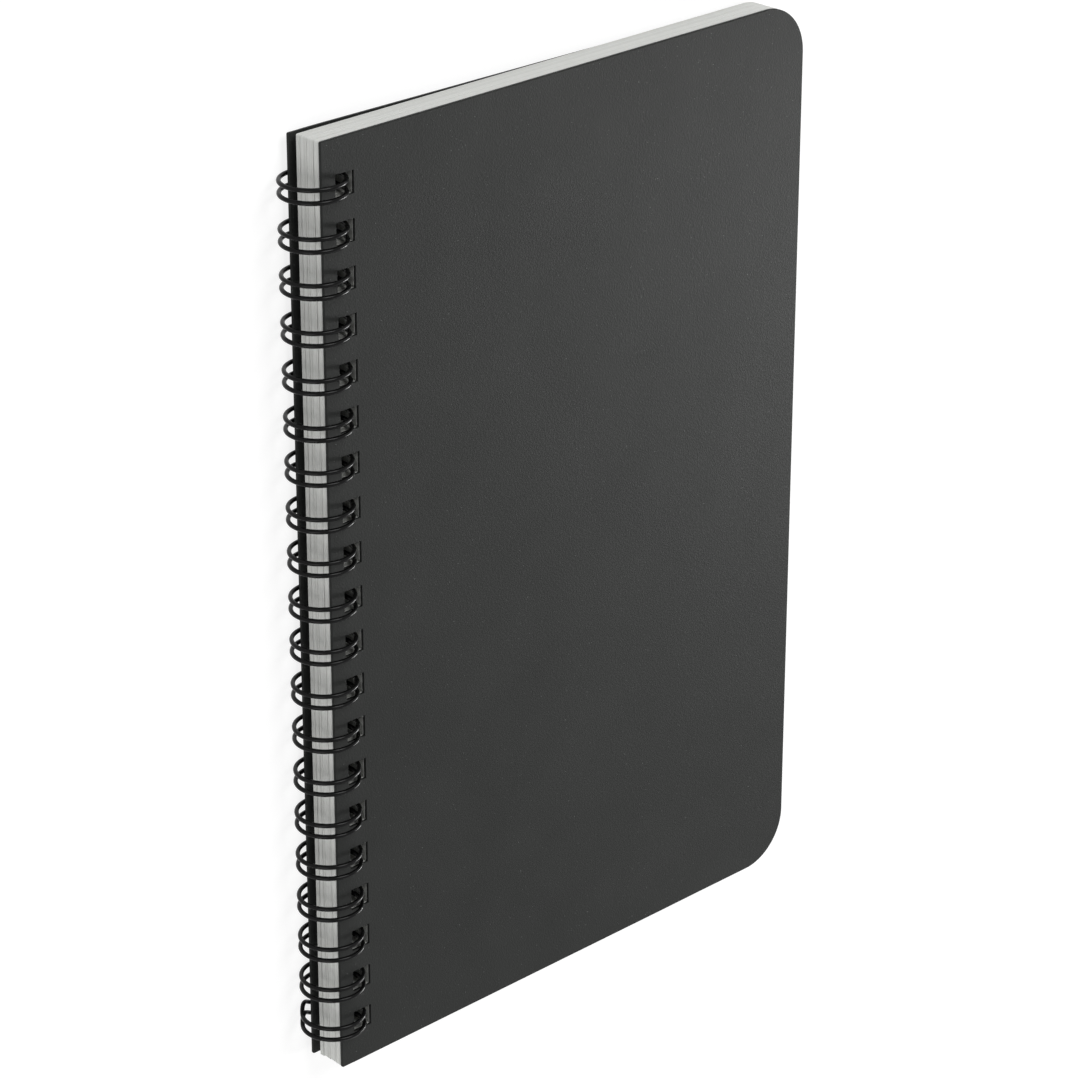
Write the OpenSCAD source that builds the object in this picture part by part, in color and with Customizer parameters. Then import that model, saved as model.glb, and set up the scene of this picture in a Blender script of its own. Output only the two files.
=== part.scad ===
// Twin-loop wire-bound pocket notebook, closed and lying on its back cover.
// X runs from the bound edge to the fore-edge, Y runs up the page and Z comes out of the front cover.
// The origin is on the table, under the middle of the notebook. Every length is in millimetres.

/* [Leaves] */
// Width of every leaf, from the bound edge to the fore-edge
leaf_w = 117.475; // [90:0.025:160]
// Height of every leaf, along the binding
leaf_h = 177.8; // [120:0.1:230]
// Radius of the die-cut corners at the fore-edge
fore_corner_r = 10; // [3:0.5:16]
// Radius of the almost square corners at the bound edge
bound_corner_r = 0.3; // [0.1:0.1:2]
// Thickness of each polymer cover
cover_t = 0.55; // [0.3:0.05:1.5]
// Thickness of the pressed block of sheets
pages_t = 5.5; // [3:0.1:6]

/* [Punched holes] */
// Side of the square holes
hole_size = 4.1; // [3.6:0.1:5]
// Bound edge to the near side of the holes
hole_margin = 3.05; // [2.4:0.05:3.6]

/* [Wire loops] */
// Distance from one loop to the next, three to the inch
loop_pitch = 8.467; // [7.5:0.001:12.7]
// Radius of a closed loop, at the centre line of the wire
loop_r = 5.65; // [5.3:0.05:6]
// Diameter of the wire with its coating
wire_d = 0.85; // [0.7:0.05:1]
// Distance between the two wires of a loop, centre to centre
twin_gap = 2.25; // [1.8:0.05:2.6]
// Bend radius where a wire turns from a loop into the base line
base_bend_r = 0.8; // [0.5:0.05:1]
// Slit between the rounded tip of a loop and the base line
tip_slit = 0.35; // [0.2:0.05:0.6]
// How much thinner the wire is drawn in its tight bends
bend_draw = 0.01; // [0.006:0.002:0.02]
// How far a tight bend reaches into the wire at its ends
bend_lap = 0.05; // [0.02:0.01:0.06]
// Straight stub of base line left where the wire is cut off at each end
cut_stub = 1; // [0.5:0.1:2]

/* [Fits] */
// Bound edge of the pages to the centre of the loops
loop_inset = 0.8; // [0.4:0.1:1]
// Inside of the loops to the margin of the back cover, which hangs lowest in them
margin_clear = 0.25; // [0.1:0.05:0.5]
// Space above and below the base line where it runs between the pages and the back cover
base_clear = 0.1; // [0.05:0.05:0.4]
// Air between the block of pages and each cover
leaf_gap = 0.1; // [0.05:0.05:0.3]

/* [Hidden] */
wire_facets = 24;
loop_facets = 72;
corner_facets = 64;

// One loop fewer than the pitches along the edge, so that each end keeps a whole pitch of margin
loop_count = round(leaf_h / loop_pitch) - 1;
first_loop_y = -(loop_count - 1) * loop_pitch / 2;

// The loops stand on the table
loop_centre_z = loop_r + wire_d / 2;

// The back cover's punched margin is a chord across the bottom of the loops, centred under them
margin_reach = loop_r - wire_d / 2 - margin_clear;
back_x = loop_inset - hole_margin / 2;
back_z = loop_centre_z - sqrt(pow(margin_reach, 2) - pow(hole_margin / 2, 2));
back_lean = asin(back_z / leaf_w);

// The base line of the wire lies between the last sheet and the back cover
turn_reach = twin_gap / 2 + base_bend_r;
base_line_r = sqrt(pow(loop_r, 2) + pow(base_bend_r, 2));
base_bend_angle = atan(base_bend_r / loop_r);
base_line_z = back_z + cover_t + base_clear + wire_d / 2;
base_line_angle = asin((base_line_z - loop_centre_z) / base_line_r);
loop_end_angle = base_line_angle - base_bend_angle;
loop_tip_angle = base_line_angle + atan((tip_slit + twin_gap / 2) / loop_r);

// The pages stay clear of the base line at the bound edge and come down on the back cover at the fore-edge
pages_z = base_line_z + wire_d / 2 + 2 * base_clear;
pages_lean = asin((pages_z - cover_t - leaf_gap) / leaf_w);
front_rise = pages_t + leaf_gap;

// The middle of the notebook, from the outside of the loops to the fore-edge of the front cover
loops_reach = loop_r + wire_d / 2 - loop_inset;
fore_reach = leaf_w * cos(pages_lean) + (front_rise + cover_t) * sin(pages_lean);
middle_x = (fore_reach - loops_reach) / 2;

// What a round corner of radius r takes away from a square corner at the origin
module corner_offcut(r) {
    difference() {
        square(r);
        translate([r, r]) circle(r, $fn = corner_facets);
    }
}

// Outline of a leaf, with the bound edge on the Y axis
module leaf_outline() {
    difference() {
        translate([0, -leaf_h / 2]) square([leaf_w, leaf_h]);
        for (top = [0, 1]) mirror([0, top, 0]) {
            translate([0, -leaf_h / 2]) corner_offcut(bound_corner_r);
            translate([leaf_w, -leaf_h / 2]) mirror([1, 0, 0]) corner_offcut(fore_corner_r);
        }
    }
}

// The row of square holes along the bound edge
module punched_holes() {
    for (i = [0 : loop_count - 1])
        translate([hole_margin, first_loop_y + i * loop_pitch - hole_size / 2]) square(hole_size);
}

// A punched leaf or a block of leaves of thickness t, lying flat
module punched_leaf(t) {
    linear_extrude(height = t) difference() {
        leaf_outline();
        punched_holes();
    }
}

// Puts a flat leaf into the loops: its bound edge at x and z, and its fore-edge leaning down
module laid(x, z, lean) {
    translate([x - middle_x, 0, z]) rotate([0, lean, 0]) children();
}

module front_cover() {
    color([0.26, 0.27, 0.27]) laid(0, pages_z, pages_lean) translate([0, 0, front_rise]) punched_leaf(cover_t);
}

module page_block() {
    color([0.86, 0.87, 0.84]) laid(0, pages_z, pages_lean) punched_leaf(pages_t);
}

module back_cover() {
    color([0.2, 0.2, 0.2]) laid(back_x, back_z, back_lean) punched_leaf(cover_t);
}

// Wire of diameter d bent to the centre-line radius r, in the XY plane, from angle a0 on over a sweep
module bent_wire(r, a0, sweep, d) {
    rotate([0, 0, a0]) rotate_extrude(angle = sweep, $fn = loop_facets)
        translate([r, 0]) circle(d = d, $fn = wire_facets);
}

// A tight bend: the wire is drawn a little thinner there, and the bend reaches into the wire at both its ends
module tight_bend(r, a0, sweep) {
    lap = bend_lap / r * 180 / PI;
    bent_wire(r, a0 - lap, sweep + 2 * lap, wire_d - bend_draw);
}

// Straight wire along +Y
module straight_wire(length) {
    rotate([-90, 0, 0]) cylinder(h = length, d = wire_d, $fn = wire_facets);
}

// Moves to the loop's centre line at an angle: X against the turn, Y along the binding and Z outward
module on_loop(angle) {
    rotate([0, 90 - angle, 0]) translate([0, 0, loop_r]) children();
}

// A twin loop: two round wires joined by a rounded tip, each turned aside at its other end into the base line
module twin_loop() {
    for (side = [-1, 1]) translate([0, side * twin_gap / 2, 0]) rotate([90, 0, 0])
        bent_wire(loop_r, loop_tip_angle, 360 + loop_end_angle - loop_tip_angle, wire_d);
    on_loop(loop_tip_angle) tight_bend(twin_gap / 2, -90, 180);
    on_loop(loop_end_angle) for (side = [0, 1]) mirror([0, side, 0])
        translate([0, turn_reach, 0]) tight_bend(base_bend_r, 180, 90);
}

// A stretch of the base line, from y on up the binding
module base_run(y, length) {
    on_loop(loop_end_angle) translate([-base_bend_r, y, 0]) straight_wire(length);
}

module binding_wire() {
    last_loop_y = first_loop_y + (loop_count - 1) * loop_pitch;
    color([0.13, 0.13, 0.13]) translate([loop_inset - middle_x, 0, loop_centre_z]) {
        for (i = [0 : loop_count - 1]) translate([0, first_loop_y + i * loop_pitch, 0]) {
            twin_loop();
            if (i < loop_count - 1) base_run(turn_reach, loop_pitch - 2 * turn_reach);
        }
        base_run(first_loop_y - turn_reach - cut_stub, cut_stub);
        base_run(last_loop_y + turn_reach, cut_stub);
    }
}

front_cover();
page_block();
back_cover();
binding_wire();
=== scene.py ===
import math
import random

import bmesh
import bpy
from mathutils import Matrix, Vector


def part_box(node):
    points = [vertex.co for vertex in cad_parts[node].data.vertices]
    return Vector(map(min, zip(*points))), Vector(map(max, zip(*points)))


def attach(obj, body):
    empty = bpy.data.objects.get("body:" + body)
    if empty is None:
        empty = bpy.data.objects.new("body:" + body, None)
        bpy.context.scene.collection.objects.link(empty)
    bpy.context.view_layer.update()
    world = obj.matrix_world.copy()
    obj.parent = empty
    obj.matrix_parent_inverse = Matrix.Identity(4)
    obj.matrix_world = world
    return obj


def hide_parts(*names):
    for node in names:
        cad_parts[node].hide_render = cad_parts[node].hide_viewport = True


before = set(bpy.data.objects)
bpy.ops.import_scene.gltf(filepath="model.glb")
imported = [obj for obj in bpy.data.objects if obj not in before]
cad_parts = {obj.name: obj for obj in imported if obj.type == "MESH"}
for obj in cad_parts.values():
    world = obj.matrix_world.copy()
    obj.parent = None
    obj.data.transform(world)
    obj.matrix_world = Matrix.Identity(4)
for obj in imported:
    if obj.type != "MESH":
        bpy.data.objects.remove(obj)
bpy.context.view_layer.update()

MM = 0.001
random.seed(31)

# Leaves, in millimetres
LEAF_W = 117.475
LEAF_H = 177.8
FORE_CORNER_R = 10
BOUND_CORNER_R = 0.3
COVER_T = 0.55
PAGES_T = 5.5
# Columns of cells from the holes to the fore-edge
COLUMNS = 4
# Slack when a point is compared with a side
SLACK = 0.01

# The die just breaks the outline of a cover, and the punch leaves its holes sharper
OUTLINE_BREAK = 0.12
PUNCH_BREAK = 0.03
# How much too short the back cover is cut, at the head of its fore-edge
BACK_SHORT = 0.8

# Punching: square holes, three to the inch, one pitch of margin at each end
PITCH = 8.467
HOLES = round(LEAF_H / PITCH) - 1
FIRST_HOLE_Y = -(HOLES - 1) * PITCH / 2
HOLE_SIZE = 4.1
HOLE_MARGIN = 3.05

# Twin-loop wire
WIRE_D = 0.85
LOOP_R = 5.65
TWIN_GAP = 2.25
BASE_BEND_R = 0.8
TIP_SLIT = 0.35
CUT_STUB = 1
BASE_CLEAR = 0.1
# A hair off the wire's radius, because the box of the wire's solid is that of its facets
FACET_LOSS = 0.007
# Steps along a loop, round its tip and round a tight bend
LOOP_STEPS = 64
TIP_STEPS = 12
BEND_STEPS = 6

# The block of sheets
SHEETS = 40
SHEET_T = 0.114
# Wider gaps between the sheets at the spine: share of the block from its back, and most air in it,
# in ordinary gaps
WIDE_GAPS = {0.15: 20, 0.24: 7, 0.36: 14, 0.45: 5, 0.55: 16, 0.66: 8, 0.76: 21}
# At so many heights up the spine, the gaps are drawn anew
GAP_KNOTS = 12
# How far in from the spine the sheets stand loose, and how far up from the foot they are uneven
LOOSE_REACH = 12
FOOT_REACH = LEAF_H / 8
# Most that the sheets between two wide gaps lie back at the spine and end short at the foot, and most that
# a single sheet adds to either
GATHER_BACK = 0.12
GATHER_SHORT = 0.22
SHEET_STRAY = 0.05

# The lowest loop leans up to its neighbour, by no more than the covers' holes can pass, and is bent
# further on its underside, which no cover reaches when it is fully open or closed. Angles are from the
# fore-edge up
LEAN = 0.4
BEND = 1.2
BEND_MIDDLE = math.radians(238)
BEND_REACH = math.radians(32)
# The other loops stand a little out of line
STRAY_LEAN = 0.15


def linear(code):
    """An sRGB hex colour as linear red, green, blue and alpha."""
    parts = [int(code[i:i + 2], 16) / 255 for i in (1, 3, 5)]
    return [c / 12.92 if c <= 0.04045 else ((c + 0.055) / 1.055) ** 2.4 for c in parts] + [1]


def add(tree, kind, settings=(), **links):
    """Adds a node. Settings are its attributes or input values, and links feed its inputs by name."""
    node = tree.nodes.new(kind)
    for name, value in dict(settings).items():
        if hasattr(node, name):
            setattr(node, name, value)
        else:
            node.inputs[name].default_value = value
    for name, source in links.items():
        socket = next(s for s in node.inputs if s.name.replace(" ", "_") == name and not s.is_linked)
        tree.links.new(source, socket)
    return node


# Materials


def blank_material(name):
    material = bpy.data.materials.new(name)
    material.use_nodes = True
    material.node_tree.nodes.clear()
    return material, material.node_tree


def moulded_polypropylene():
    """Charcoal polypropylene sheet with a pebbled matte skin: a dull sheen, broken into fine specks."""
    material, tree = blank_material("moulded_polypropylene")
    place = add(tree, "ShaderNodeTexCoord").outputs["Object"]
    # Pebbles of about 0.35 mm, so that the skin sparkles finely without any glare
    pebble = add(tree, "ShaderNodeTexVoronoi", {"Scale": 1 / (0.35 * MM), "Randomness": 1}, Vector=place)
    # Flow of the sheet, in soft clouds of about 14 mm
    cloud = add(tree, "ShaderNodeTexNoise", {"Scale": 1 / (14 * MM), "Detail": 3}, Vector=place)
    tone = add(tree, "ShaderNodeValToRGB", Fac=cloud.outputs["Fac"])
    tone.color_ramp.elements[0].position = 0.3
    tone.color_ramp.elements[0].color = linear("#2b2c2b")
    tone.color_ramp.elements[1].position = 0.7
    tone.color_ramp.elements[1].color = linear("#2f302f")
    # Specks of dust and filler a tenth of a millimetre across, drawn at 0.3 mm so that they show
    grit = add(tree, "ShaderNodeTexNoise", {"Scale": 1 / (0.3 * MM), "Detail": 1}, Vector=place)
    few = {"From Min": 0.74, "From Max": 0.82}
    speck = add(tree, "ShaderNodeMapRange", few, Value=grit.outputs["Fac"])
    speckled = add(tree, "ShaderNodeMixRGB", {"Color2": linear("#6a6c6b")}, Fac=speck.outputs["Result"],
                   Color1=tone.outputs["Color"])
    bump = add(tree, "ShaderNodeBump", {"Strength": 1, "Distance": 0.023 * MM},
               Height=pebble.outputs["Distance"])
    # A low level, because the pebbles scatter the white room's reflection, which would veil the charcoal
    matte = {"Roughness": 0.5, "IOR": 1.49, "Specular IOR Level": 0.08}
    shader = add(tree, "ShaderNodeBsdfPrincipled", matte, Base_Color=speckled.outputs["Color"],
                 Normal=bump.outputs["Normal"])
    add(tree, "ShaderNodeOutputMaterial", Surface=shader.outputs["BSDF"])
    return material


def uncoated_paper():
    """Uncoated notebook stock, cut by guillotine: soft white, with a faint nap of fibres."""
    material, tree = blank_material("uncoated_paper")
    place = add(tree, "ShaderNodeTexCoord").outputs["Object"]
    # Fibre clumps of about 0.8 mm mottle the white a little, and no two sheets are cut quite alike
    fibre = add(tree, "ShaderNodeTexNoise", {"Scale": 1 / (0.8 * MM), "Detail": 4}, Vector=place)
    sheet = add(tree, "ShaderNodeAttribute", {"attribute_name": "sheet_shade"})
    mixed = add(tree, "ShaderNodeMix", {"Factor": 0.6}, A=fibre.outputs["Fac"], B=sheet.outputs["Fac"])
    tone = add(tree, "ShaderNodeValToRGB", Fac=mixed.outputs["Result"])
    tone.color_ramp.elements[0].position = 0.15
    tone.color_ramp.elements[0].color = linear("#d5d6d2")
    tone.color_ramp.elements[1].position = 0.85
    tone.color_ramp.elements[1].color = linear("#e5e6e3")
    nap = add(tree, "ShaderNodeTexNoise", {"Scale": 1 / (0.15 * MM), "Detail": 2}, Vector=place)
    bump = add(tree, "ShaderNodeBump", {"Strength": 0.2, "Distance": 0.01 * MM}, Height=nap.outputs["Fac"])
    shader = add(tree, "ShaderNodeBsdfPrincipled", {"Roughness": 0.85, "IOR": 1.5},
                 Base_Color=tone.outputs["Color"], Normal=bump.outputs["Normal"])
    add(tree, "ShaderNodeOutputMaterial", Surface=shader.outputs["BSDF"])
    return material


def punched_paper_edge():
    """Walls of the punched holes: the same stock, darkened grey by painted shade, as the holes lie in
    shadow.
    """
    material, tree = blank_material("punched_paper_edge")
    place = add(tree, "ShaderNodeTexCoord").outputs["Object"]
    # Torn fibres of about 0.3 mm
    fibre = add(tree, "ShaderNodeTexNoise", {"Scale": 1 / (0.3 * MM), "Detail": 3}, Vector=place)
    tone = add(tree, "ShaderNodeValToRGB", Fac=fibre.outputs["Fac"])
    tone.color_ramp.elements[0].position = 0.3
    tone.color_ramp.elements[0].color = linear("#838480")
    tone.color_ramp.elements[1].position = 0.7
    tone.color_ramp.elements[1].color = linear("#9a9b97")
    shader = add(tree, "ShaderNodeBsdfPrincipled", {"Roughness": 0.9, "IOR": 1.5},
                 Base_Color=tone.outputs["Color"])
    add(tree, "ShaderNodeOutputMaterial", Surface=shader.outputs["BSDF"])
    return material


def coated_wire():
    """Steel wire in a black polymer coat: half gloss, with long glints that waver where it is uneven."""
    material, tree = blank_material("coated_wire")
    place = add(tree, "ShaderNodeTexCoord").outputs["Object"]
    # The coat swells and thins over about 1.5 mm
    coat = add(tree, "ShaderNodeTexNoise", {"Scale": 1 / (1.5 * MM), "Detail": 3}, Vector=place)
    tone = add(tree, "ShaderNodeValToRGB", Fac=coat.outputs["Fac"])
    tone.color_ramp.elements[0].color = linear("#050505")
    tone.color_ramp.elements[1].color = linear("#0b0b0b")
    rough = add(tree, "ShaderNodeMapRange", {"To Min": 0.12, "To Max": 0.24}, Value=coat.outputs["Fac"])
    swell = {"Strength": 0.25, "Distance": 0.02 * MM}
    bump = add(tree, "ShaderNodeBump", swell, Height=coat.outputs["Fac"])
    # A low level, or the white room would turn the black coat grey
    shader = add(tree, "ShaderNodeBsdfPrincipled", {"IOR": 1.5, "Specular IOR Level": 0.12},
                 Base_Color=tone.outputs["Color"], Roughness=rough.outputs["Result"],
                 Normal=bump.outputs["Normal"])
    add(tree, "ShaderNodeOutputMaterial", Surface=shader.outputs["BSDF"])
    return material


# Leaves


def leaning_frame(node, thickness):
    """Where a leaf lies: its bound edge's underside in x and z, and its lean, from its box."""
    low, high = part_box(node)
    rise = (high[2] - low[2]) / MM
    lean = math.asin(rise / math.hypot(LEAF_W, thickness)) - math.atan2(thickness, LEAF_W)
    z = high[2] / MM - thickness * math.cos(lean)
    return Matrix.Translation((low[0], 0, z * MM)) @ Matrix.Rotation(lean, 4, "Y")


def leaf_rows():
    """Heights up the leaf at which its outline or its punching changes."""
    half = LEAF_H / 2
    rows = set()
    for radius, steps in ((FORE_CORNER_R, 16), (BOUND_CORNER_R, 4)):
        for i in range(steps + 1):
            rows.add(round(half - radius * (1 - math.sin(math.pi / 2 * i / steps)), 5))
    rows |= {-y for y in rows}
    for i in range(HOLES):
        middle = FIRST_HOLE_Y + i * PITCH
        rows |= {round(middle - HOLE_SIZE / 2, 5), round(middle + HOLE_SIZE / 2, 5)}
        rows.add(round(middle, 5))
    return sorted(rows)


def corner_inset(y, radius):
    """How far a round corner of this radius pulls the leaf's side in at height y."""
    into = abs(y) - (LEAF_H / 2 - radius)
    return radius - math.sqrt(max(radius ** 2 - into ** 2, 0)) if into > 0 else 0


def in_hole(y):
    return any(abs(y - FIRST_HOLE_Y - i * PITCH) < HOLE_SIZE / 2 for i in range(HOLES))


def in_row_of_holes(x, y):
    """Whether a point lies on or between the two sides of the row of holes, and not on the outline."""
    return -SLACK < x - HOLE_MARGIN < HOLE_SIZE + SLACK and abs(y) < (LEAF_H - PITCH) / 2


def leaf_cells():
    """A leaf as a grid of four-sided cells, with the punched ones left out: points and faces."""
    rows = leaf_rows()
    points = []
    for y in rows:
        left = corner_inset(y, BOUND_CORNER_R)
        right = LEAF_W - corner_inset(y, FORE_CORNER_R)
        start = HOLE_MARGIN + HOLE_SIZE
        xs = [left, HOLE_MARGIN] + [start + (right - start) * i / COLUMNS for i in range(COLUMNS + 1)]
        points += [(x, y) for x in xs]
    wide = COLUMNS + 3
    faces = []
    for r in range(len(rows) - 1):
        for c in range(wide - 1):
            if c == 1 and in_hole((rows[r] + rows[r + 1]) / 2):
                continue
            corner = r * wide + c
            faces.append((corner, corner + 1, corner + wide + 1, corner + wide))
    return points, faces


def rim(faces):
    """Edges that only one face has, each in that face's own direction."""
    edges = {(f[i], f[(i + 1) % 4]) for f in faces for i in range(4)}
    return [e for e in edges if (e[1], e[0]) not in edges]


def closed_leaf(points, faces):
    """Faces of a closed leaf whose upper points follow all its lower ones."""
    above = len(points)
    shell = [tuple(reversed(f)) for f in faces]
    shell += [tuple(i + above for i in f) for f in faces]
    shell += [(a, b, b + above, a + above) for a, b in sorted(rim(faces))]
    return shell


def mesh_object(name, verts, faces, material):
    mesh = bpy.data.meshes.new(name)
    mesh.from_pydata(verts, [], faces)
    mesh.validate()
    mesh.materials.append(material)
    piece = bpy.data.objects.new(name, mesh)
    bpy.context.scene.collection.objects.link(piece)
    return piece


def punched_cover(name, node, body, material, short=0):
    """A die-cut cover, its outline just broken and its punched holes sharper.

    It is cut short by so much at the head of its fore-edge.
    """
    points, faces = leaf_cells()
    past_holes = HOLE_MARGIN + HOLE_SIZE
    points = [(x, y - short * max(0, x - past_holes) / LEAF_W * max(0, y) * 2 / LEAF_H) for x, y in points]
    place = leaning_frame(node, COVER_T)
    verts = [Vector((x * MM, y * MM, z * MM)) for z in (0, COVER_T) for x, y in points]
    piece = mesh_object(name, [place @ v for v in verts], closed_leaf(points, faces), material)
    shell = bmesh.new()
    shell.from_mesh(piece.data)
    flat = place.inverted()
    for punched, break_size in ((False, OUTLINE_BREAK), (True, PUNCH_BREAK)):
        rims = []
        for edge in shell.edges:
            a, b = (flat @ vert.co / MM for vert in edge.verts)
            level = abs(a.z - b.z) < SLACK
            if level and edge.calc_face_angle(0) > 1 and in_row_of_holes(a.x, a.y) == punched:
                rims.append(edge)
        bmesh.ops.bevel(shell, geom=rims, offset=break_size * MM, segments=2, profile=0.5, affect="EDGES")
    shell.to_mesh(piece.data)
    shell.free()
    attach(piece, body)
    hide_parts(node)
    return piece


def spread(airs):
    """Undersides of the sheets, with the block's spare height shared out as these amounts of air."""
    spare = PAGES_T - SHEETS * SHEET_T
    levels = [0]
    for air in airs:
        levels.append(levels[-1] + SHEET_T + air * spare / sum(airs))
    return levels


def stacked_levels():
    """Undersides of the sheets at heights up the spine. Air gathers in a few gaps, which come and go."""
    knots = []
    for _ in range(GAP_KNOTS):
        airs = [random.uniform(0.3, 1) for _ in range(SHEETS - 1)]
        for share, most in WIDE_GAPS.items():
            airs[round(share * SHEETS)] = random.uniform(0.35, 1) * most
        knots.append(spread(airs))
    return knots


def page_sheets(paper, punched):
    """The block as thin sheets, flush at the head and a little uneven at the spine and the foot."""
    points, faces = leaf_cells()
    shell = closed_leaf(points, faces)
    place = leaning_frame("page_block", PAGES_T)
    knots = stacked_levels()
    even = spread([1] * (SHEETS - 1))
    wide = {round(share * SHEETS) + 1 for share in WIDE_GAPS}
    verts = []
    all_faces = []
    gather_back = gather_short = 0
    for sheet in range(SHEETS):
        if sheet in wide:
            gather_back = random.uniform(0, GATHER_BACK)
            gather_short = random.uniform(0, GATHER_SHORT)
        back = gather_back + random.uniform(0, SHEET_STRAY)
        short = gather_short + random.uniform(0, SHEET_STRAY)
        start = len(verts)
        for z in (0, SHEET_T):
            for x, y in points:
                knot = (y / LEAF_H + 0.5) * (GAP_KNOTS - 1)
                low = min(int(knot), GAP_KNOTS - 2)
                loose = knots[low][sheet] + (knots[low + 1][sheet] - knots[low][sheet]) * (knot - low)
                near = max(0, 1 - x / LOOSE_REACH)
                level = even[sheet] + (loose - even[sheet]) * near
                x += back * max(0, 1 - x / HOLE_MARGIN)
                y += short * max(0, 1 - (LEAF_H / 2 + y) / FOOT_REACH)
                verts.append(place @ Vector((x * MM, y * MM, (level + z) * MM)))
        all_faces += [tuple(i + start for i in f) for f in shell]
    piece = mesh_object("page_sheets", verts, all_faces, paper)
    piece.data.materials.append(punched)
    shade = piece.data.attributes.new("sheet_shade", "FLOAT", "FACE")
    shades = [random.random() for _ in range(SHEETS)]
    shade.data.foreach_set("value", [shades[i // len(shell)] for i in range(len(all_faces))])
    # The walls of the holes take the second paper, darker with painted shade for the inside of the holes
    middle = place.inverted()
    for face in piece.data.polygons:
        out = middle.to_3x3() @ face.normal
        x, y, _ = middle @ face.center / MM
        if abs(out.z) < 0.5 and in_row_of_holes(x, y):
            face.material_index = 1
    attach(piece, "bound_block")
    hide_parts("page_block")
    return piece


# Binding wire


def wire_geometry():
    """Angles of the loops, in radians from the fore-edge side, as they follow from the leaves' places."""
    low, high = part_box("binding_wire")
    centre = Vector((low[0] / MM + LOOP_R + WIRE_D / 2, 0, low[2] / MM + LOOP_R + WIRE_D / 2))
    back = leaning_frame("back_cover", COVER_T).translation / MM
    line_z = back.z + COVER_T + BASE_CLEAR + WIRE_D / 2
    line_r = math.hypot(LOOP_R, BASE_BEND_R)
    line = math.asin((line_z - centre.z) / line_r)
    end = line - math.atan(BASE_BEND_R / LOOP_R)
    tip = line + math.atan((TIP_SLIT + TWIN_GAP / 2) / LOOP_R)
    return centre, tip, end


def on_loop(centre, angle, along, y):
    """A point near the centre line of a loop: so far along its tangent, and up the binding."""
    c, s = math.cos(angle), math.sin(angle)
    return Vector((centre.x + LOOP_R * c - along * s, y, centre.z + LOOP_R * s + along * c))


def bend_points(centre, tip, end, y):
    """One twin loop of the wire, from the base line round to its tip and back to the base line."""
    reach = TWIN_GAP / 2 + BASE_BEND_R
    turn = []
    for i in range(BEND_STEPS + 1):
        a = math.pi / 2 * i / BEND_STEPS
        turn.append((BASE_BEND_R * (1 - math.sin(a)), -reach + BASE_BEND_R * (1 - math.cos(a))))
    points = [on_loop(centre, end, along, y + side) for along, side in turn]
    step = (2 * math.pi + end - tip) / LOOP_STEPS
    points += [on_loop(centre, end - step * i, 0, y - TWIN_GAP / 2) for i in range(1, LOOP_STEPS + 1)]
    for i in range(1, TIP_STEPS):
        a = math.pi * i / TIP_STEPS
        points.append(on_loop(centre, tip, -TWIN_GAP / 2 * math.sin(a), y - TWIN_GAP / 2 * math.cos(a)))
    points += [on_loop(centre, tip + step * i, 0, y + TWIN_GAP / 2) for i in range(LOOP_STEPS)]
    points += [on_loop(centre, end, along, y - side) for along, side in reversed(turn)]
    return points


def push_aside(point, centre, end, lean, bend):
    """Leans a point of a loop up the binding, and bends it further on the loop's underside."""
    angle = math.atan2(point.z - centre.z, point.x - centre.x) % (2 * math.pi)
    to_base = 2 * math.pi + end - angle
    # The lean grows over a radian from the fore-edge up and fades over the last one before the base line.
    # The tip, past the base line, keeps its place
    free = min(1, angle, to_base) if to_base > 0 else 0
    off = min(1, abs(angle - BEND_MIDDLE) / BEND_REACH)
    point.y += lean * free ** 2 * (3 - 2 * free) + bend * math.cos(off * math.pi / 2) ** 2


def binding(material):
    """The one continuous wire, with a cut stub at each end of its base line."""
    centre, tip, end = wire_geometry()
    points = []
    for i in range(HOLES):
        loop = bend_points(centre, tip, end, FIRST_HOLE_Y + i * PITCH)
        lean, bend = (LEAN, BEND) if i == 0 else (random.uniform(-STRAY_LEAN, STRAY_LEAN), 0)
        for point in loop:
            push_aside(point, centre, end, lean, bend)
        points += loop
    first, last = points[0], points[-1]
    points = [first - Vector((0, CUT_STUB, 0))] + points + [last + Vector((0, CUT_STUB, 0))]
    curve = bpy.data.curves.new("binding_wire_smooth", "CURVE")
    curve.dimensions = "3D"
    curve.bevel_depth = (WIRE_D / 2 - FACET_LOSS) * MM
    curve.bevel_resolution = 4
    curve.use_fill_caps = True
    spline = curve.splines.new("POLY")
    spline.points.add(len(points) - 1)
    for point, place in zip(spline.points, points):
        point.co = (*(place * MM), 1)
    curve.materials.append(material)
    piece = bpy.data.objects.new("wire_binding", curve)
    bpy.context.scene.collection.objects.link(piece)
    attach(piece, "bound_block")
    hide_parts("binding_wire")
    return piece


cover_finish = moulded_polypropylene()
punched_cover("front_cover_sheet", "front_cover", "front", cover_finish)
punched_cover("back_cover_sheet", "back_cover", "back", cover_finish, short=BACK_SHORT)
page_sheets(uncoated_paper(), punched_paper_edge())
binding(coated_wire())


# Stage

# Share of its own white that the floor shows, and how strong that white is. The rest takes the shadow
FLOOR_WHITENESS = 0.65
FLOOR_GLOW = 1.24
# From its middle to its sides, in metres
FLOOR_HALF = 3
# Light that the white room gives to the notebook
AMBIENT = 0.2


def seen_directly(tree):
    """1 for rays that show the background: from the camera, a reflection or a clear body."""
    rays = add(tree, "ShaderNodeLightPath")
    first = add(tree, "ShaderNodeMath", {"operation": "MAXIMUM"})
    tree.links.new(rays.outputs["Is Camera Ray"], first.inputs[0])
    tree.links.new(rays.outputs["Is Glossy Ray"], first.inputs[1])
    second = add(tree, "ShaderNodeMath", {"operation": "MAXIMUM"})
    tree.links.new(first.outputs[0], second.inputs[0])
    tree.links.new(rays.outputs["Is Transmission Ray"], second.inputs[1])
    return second.outputs[0]


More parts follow.
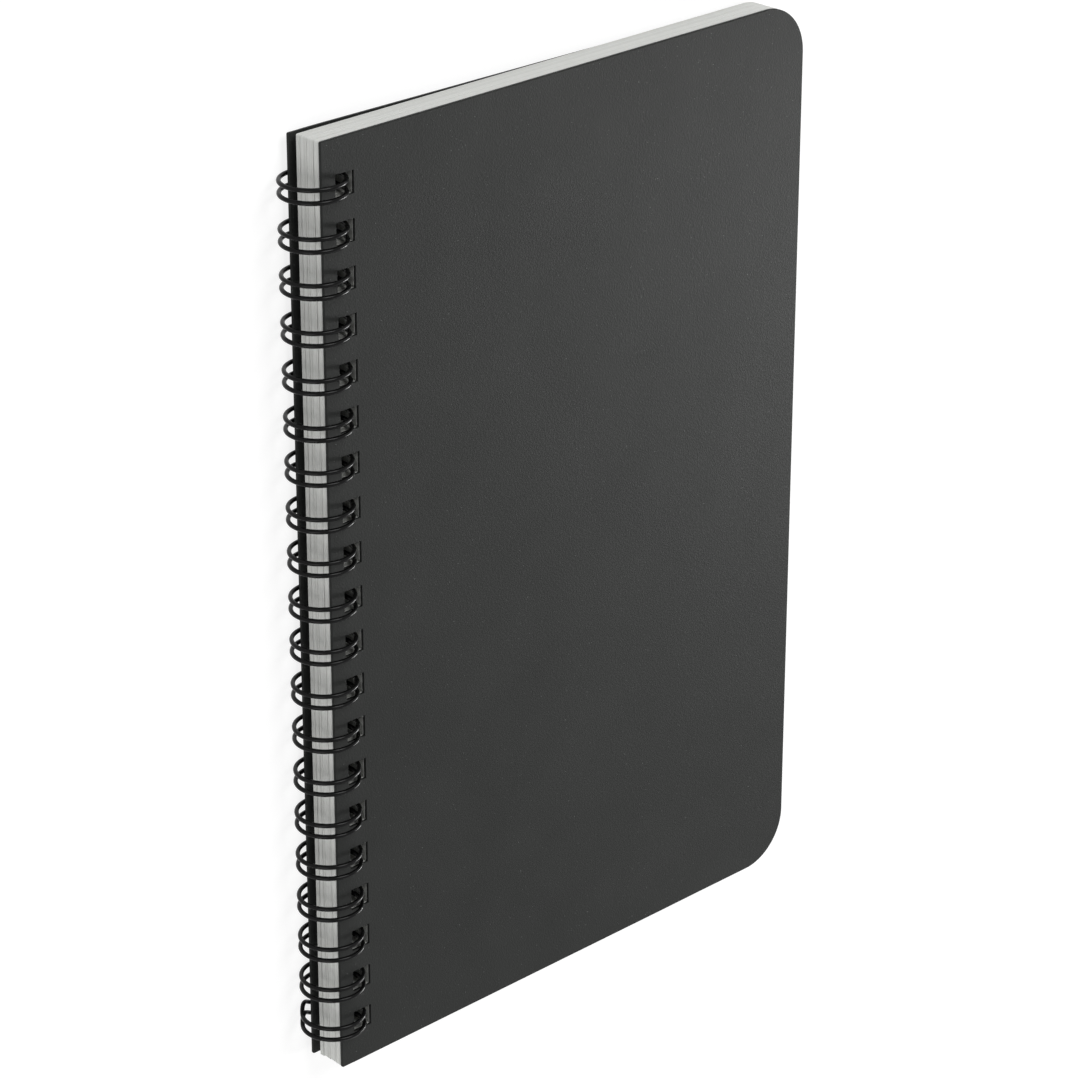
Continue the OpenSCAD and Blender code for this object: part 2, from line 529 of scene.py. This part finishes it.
def white_floor():
    """A plain pale floor that reads as white and keeps a faint shadow."""
    material, tree = blank_material("matt_white_board")
    lit = add(tree, "ShaderNodeBsdfDiffuse", {"Color": linear("#f0f0f0")})
    white = add(tree, "ShaderNodeEmission", {"Color": (1, 1, 1, 1), "Strength": FLOOR_GLOW})
    share = add(tree, "ShaderNodeMath", {"operation": "MULTIPLY"})
    tree.links.new(seen_directly(tree), share.inputs[0])
    share.inputs[1].default_value = FLOOR_WHITENESS
    surface = add(tree, "ShaderNodeMixShader", Fac=share.outputs[0])
    tree.links.new(lit.outputs[0], surface.inputs[1])
    tree.links.new(white.outputs[0], surface.inputs[2])
    add(tree, "ShaderNodeOutputMaterial", Surface=surface.outputs[0])
    corners = [(x * FLOOR_HALF, y * FLOOR_HALF, 0) for x, y in ((-1, -1), (1, -1), (1, 1), (-1, 1))]
    floor = mesh_object("floor", corners, [(0, 1, 2, 3)], material)


def pale_room():
    """White wherever the background shows, and a dimmer white as light."""
    world = bpy.data.worlds.new("pale_room")
    bpy.context.scene.world = world
    world.use_nodes = True
    tree = world.node_tree
    tree.nodes.clear()
    levels = {"To Min": AMBIENT, "To Max": 1.0}
    strength = add(tree, "ShaderNodeMapRange", levels, Value=seen_directly(tree))
    white = {"Color": (1, 1, 1, 1)}
    back = add(tree, "ShaderNodeBackground", white, Strength=strength.outputs["Result"])
    add(tree, "ShaderNodeOutputWorld", Surface=back.outputs[0])


def soft_light(kind, name, place, strength, **shape):
    """A broad lamp at this place in metres, or far off in its direction, turned to the notebook."""
    data = bpy.data.lights.new(name, kind)
    data.energy = strength
    for side, value in shape.items():
        setattr(data, side, value)
    lamp = bpy.data.objects.new(name, data)
    lamp.location = place
    lamp.rotation_euler = Vector(place).to_track_quat("Z", "Y").to_euler()
    bpy.context.scene.collection.objects.link(lamp)


def camera():
    """From the spine side and above, with the page's height upright in the picture."""
    place = Vector((-449.4, 297.9, 487.5)) * MM
    aim = Vector((-2.4, -1.0, 4.4)) * MM
    back = (place - aim).normalized()
    right = Vector((0, 1, 0)).cross(back).normalized()
    up = back.cross(right)
    data = bpy.data.cameras.new("camera")
    data.sensor_width = 36
    data.lens = 131.7
    eye = bpy.data.objects.new("camera", data)
    eye.matrix_world = Matrix.Translation(place) @ Matrix((right, up, back)).transposed().to_4x4()
    bpy.context.scene.collection.objects.link(eye)
    bpy.context.scene.camera = eye


white_floor()
pale_room()
# From the head and above; from low past the fore-edge, for the glints on the wire; and from the spine side
soft_light("SUN", "key", (0.1, 0.45, 0.45), 1.75, angle=math.radians(31))
soft_light("AREA", "fore_edge_sheen", (0.62, -0.18, 0.2), 3.1, shape="RECTANGLE", size=0.12, size_y=0.4)
soft_light("AREA", "spine_fill", (-0.6, -0.1, 0.3), 1.38, size=0.4)
camera()
bpy.context.scene.view_settings.view_transform = "Standard"
